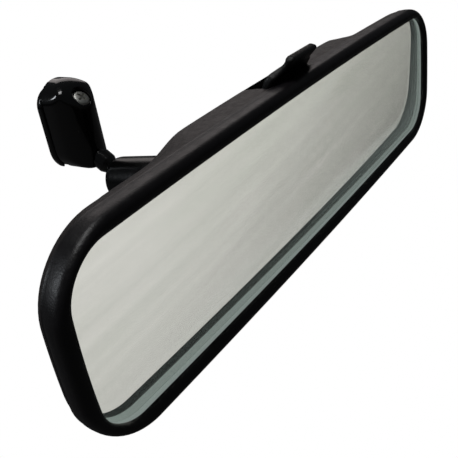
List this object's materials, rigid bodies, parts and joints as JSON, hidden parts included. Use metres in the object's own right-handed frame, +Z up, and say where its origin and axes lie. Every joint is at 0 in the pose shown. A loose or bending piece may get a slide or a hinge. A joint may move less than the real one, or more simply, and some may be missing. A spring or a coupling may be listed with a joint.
{
  "type": "interior rearview mirror",
  "caption": "Prism day and night rearview mirror head with a flip lever, on a twin-ball arm and a windscreen foot.",
  "frame": {"origin": "centre of the foot's mounting face, where it meets the windscreen button", "axes": "+Z up, glass faces -Y, X along the head's length"},
  "size_m": [0.24, 0.1255, 0.0722],
  "materials": {
    "case_plastic": "fine-textured satin charcoal",
    "bezel_plastic": "satin black",
    "lever_plastic": "satin black",
    "frame_plastic": "moulded dark grey",
    "mirror_glass": "polished prism",
    "silver": "silvered, black backing paint",
    "foam": "open foam",
    "foot_paint": "gloss black",
    "arm_paint": "satin black",
    "steel": "plain steel",
    "spring_steel": "spring steel",
    "zinc_plate": "bright zinc plate",
    "bronze": "sintered bronze",
    "nylon": "natural nylon",
    "slip_film": "white slip film",
    "rubber": "black rubber"
  },
  "bodies": {
    "foot": {"foot_casting": "foot_paint", "clamp_screw": "zinc_plate", "clamp_shoe": "bronze", "foot_ball_stud": "foot_paint"},
    "foot_seat": {"foot_ball_liner": "nylon"},
    "arm": {"arm_tube": "arm_paint", "arm_spring": "spring_steel", "foot_end_cup": "steel", "head_end_cup": "steel"},
    "head_seat": {"head_ball_seat": "nylon"},
    "head_liner": {"head_ball_liner": "slip_film"},
    "carrier": {"head_ball_stud": "steel", "stud_washer": "zinc_plate", "carrier_plate": "steel", "carrier_bushes": "nylon"},
    "head": {"rear_case": "case_plastic", "front_bezel": "bezel_plastic", "mirror_glass": "mirror_glass", "silver_coating": "silver", "glass_pad": "foam", "backing_frame": "frame_plastic", "frame_screws": "zinc_plate", "bezel_clips": "spring_steel", "tilt_pin": "steel", "lever_pin": "steel", "detent_spring": "spring_steel", "stop_buffers": "rubber"},
    "lever": {"lever_tab": "lever_plastic", "toggle_pin": "steel", "lever_bushes": "nylon"}
  },
  "joints": [
    {"name": "arm_swing", "type": "hinge", "parent": "foot", "child": "foot_seat", "pos_m": [0, -0.0305, -0.0252], "axis": [0, 0, 1], "range_deg": [-15, 15]},
    {"name": "arm_tilt", "type": "hinge", "parent": "foot_seat", "child": "arm", "pos_m": [0, -0.0305, -0.0252], "axis": [1, 0, 0], "range_deg": [-1, 50]},
    {"name": "head_yaw", "type": "hinge", "parent": "arm", "child": "head_seat", "pos_m": [0, -0.082, -0.019], "axis": [0, 0, 1], "range_deg": [-20, 20]},
    {"name": "head_pitch", "type": "hinge", "parent": "head_seat", "child": "head_liner", "pos_m": [0, -0.082, -0.019], "axis": [1, 0, 0], "range_deg": [-26, 16]},
    {"name": "head_roll", "type": "hinge", "parent": "head_liner", "child": "carrier", "pos_m": [0, -0.082, -0.019], "axis": [0, 1, 0], "range_deg": [-12, 12]},
    {"name": "day_night_tip", "type": "hinge", "parent": "carrier", "child": "head", "pos_m": [0, -0.1072, -0.03], "axis": [1, 0, 0], "range_deg": [-3.5, 0]},
    {"name": "lever_flip", "type": "hinge", "parent": "head", "child": "lever", "pos_m": [0, -0.113, 0.012], "axis": [1, 0, 0], "range_deg": [-38, 0]}
  ],
  "couplings": [
    {"joint": "lever_flip", "follows": "day_night_tip", "ratio": 10.857}
  ]
}
